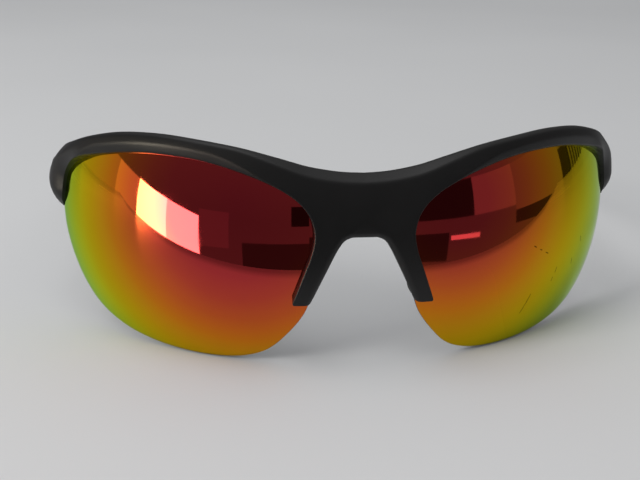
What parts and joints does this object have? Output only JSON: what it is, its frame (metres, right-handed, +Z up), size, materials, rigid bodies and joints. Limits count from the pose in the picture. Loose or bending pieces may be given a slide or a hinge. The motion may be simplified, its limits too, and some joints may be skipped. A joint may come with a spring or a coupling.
{
  "type": "wraparound sport sunglasses",
  "caption": "Half-rim wraparound sport sunglasses with mirror lenses, rubber nose pads, and temples that fold on steel leaf hinges.",
  "frame": {"origin": "on the table, under the middle of the open object's bounding box", "axes": "+Z up, the lenses face -Y, the temples run back along +Y, +X to the right seen from the front"},
  "size_m": [0.143, 0.153, 0.0502],
  "materials": {
    "frame": "satin soft-touch charcoal black",
    "mirror_lens": "red-orange interference mirror coating, green towards the rim",
    "rubber": "matt black soft rubber",
    "steel": "fine brushed stainless"
  },
  "bodies": {
    "front": {"front_frame": "frame", "lens_right": "mirror_lens", "lens_left": "mirror_lens", "nose_pad_right": "rubber", "nose_pad_left": "rubber", "hinge_front_leaf_right": "steel", "hinge_front_leaf_left": "steel", "hinge_screw_right": "steel", "hinge_screw_left": "steel", "front_leaf_screw_right_1": "steel", "front_leaf_screw_left_1": "steel", "front_leaf_screw_right_2": "steel", "front_leaf_screw_left_2": "steel"},
    "temple_arm_right": {"temple_right": "frame", "temple_grip_right": "rubber", "hinge_temple_leaf_right": "steel", "temple_leaf_screw_right_1": "steel", "temple_leaf_screw_right_2": "steel"},
    "temple_arm_left": {"temple_left": "frame", "temple_grip_left": "rubber", "hinge_temple_leaf_left": "steel", "temple_leaf_screw_left_1": "steel", "temple_leaf_screw_left_2": "steel"}
  },
  "joints": [
    {"name": "temple_right_fold", "type": "hinge", "parent": "front", "child": "temple_arm_right", "pos_m": [0.0643, -0.02625, 0.0312], "axis": [0, 0, 1], "range_deg": [0, 82]},
    {"name": "temple_left_fold", "type": "hinge", "parent": "front", "child": "temple_arm_left", "pos_m": [-0.0643, -0.02625, 0.0312], "axis": [0, 0, -1], "range_deg": [0, 89]}
  ]
}
